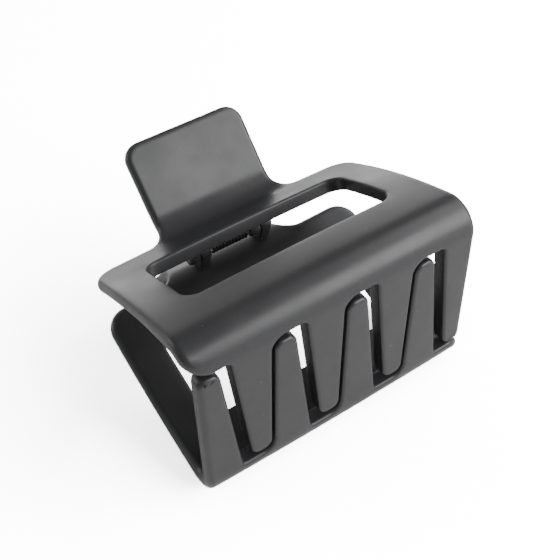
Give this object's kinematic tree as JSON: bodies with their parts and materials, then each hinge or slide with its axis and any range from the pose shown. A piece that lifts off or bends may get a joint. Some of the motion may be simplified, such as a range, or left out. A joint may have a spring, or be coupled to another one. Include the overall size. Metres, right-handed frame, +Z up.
{
  "type": "claw clip",
  "caption": "Spring hair claw clip with two windowed rectangular jaws, interleaved tapered teeth and thumb tabs on a pinned hinge.",
  "frame": {"origin": "on the table, under the middle of the closed clip's box", "axes": "+Z up, +X along the row of teeth, -Y towards the teeth, +Y towards the thumb tabs"},
  "size_m": [0.0702, 0.066, 0.0468],
  "materials": {
    "jaw_plastic": "matte soft-touch charcoal black, fine satin texture",
    "pin_steel": "drawn wire",
    "spring_steel": "hard-drawn spring wire, dark"
  },
  "bodies": {
    "lower": {"lower_jaw": "jaw_plastic", "hinge_pin": "pin_steel", "torsion_spring": "spring_steel"},
    "upper": {"upper_jaw": "jaw_plastic"}
  },
  "joints": [
    {"name": "jaw_hinge", "type": "hinge", "parent": "lower", "child": "upper", "pos_m": [0, 0.014, 0.0234], "axis": [-1, 0, 0], "range_deg": [0, 70], "stiffness_Nm_per_rad": 0.12, "springref_deg": -40.11, "deforming": ["torsion_spring"]}
  ]
}
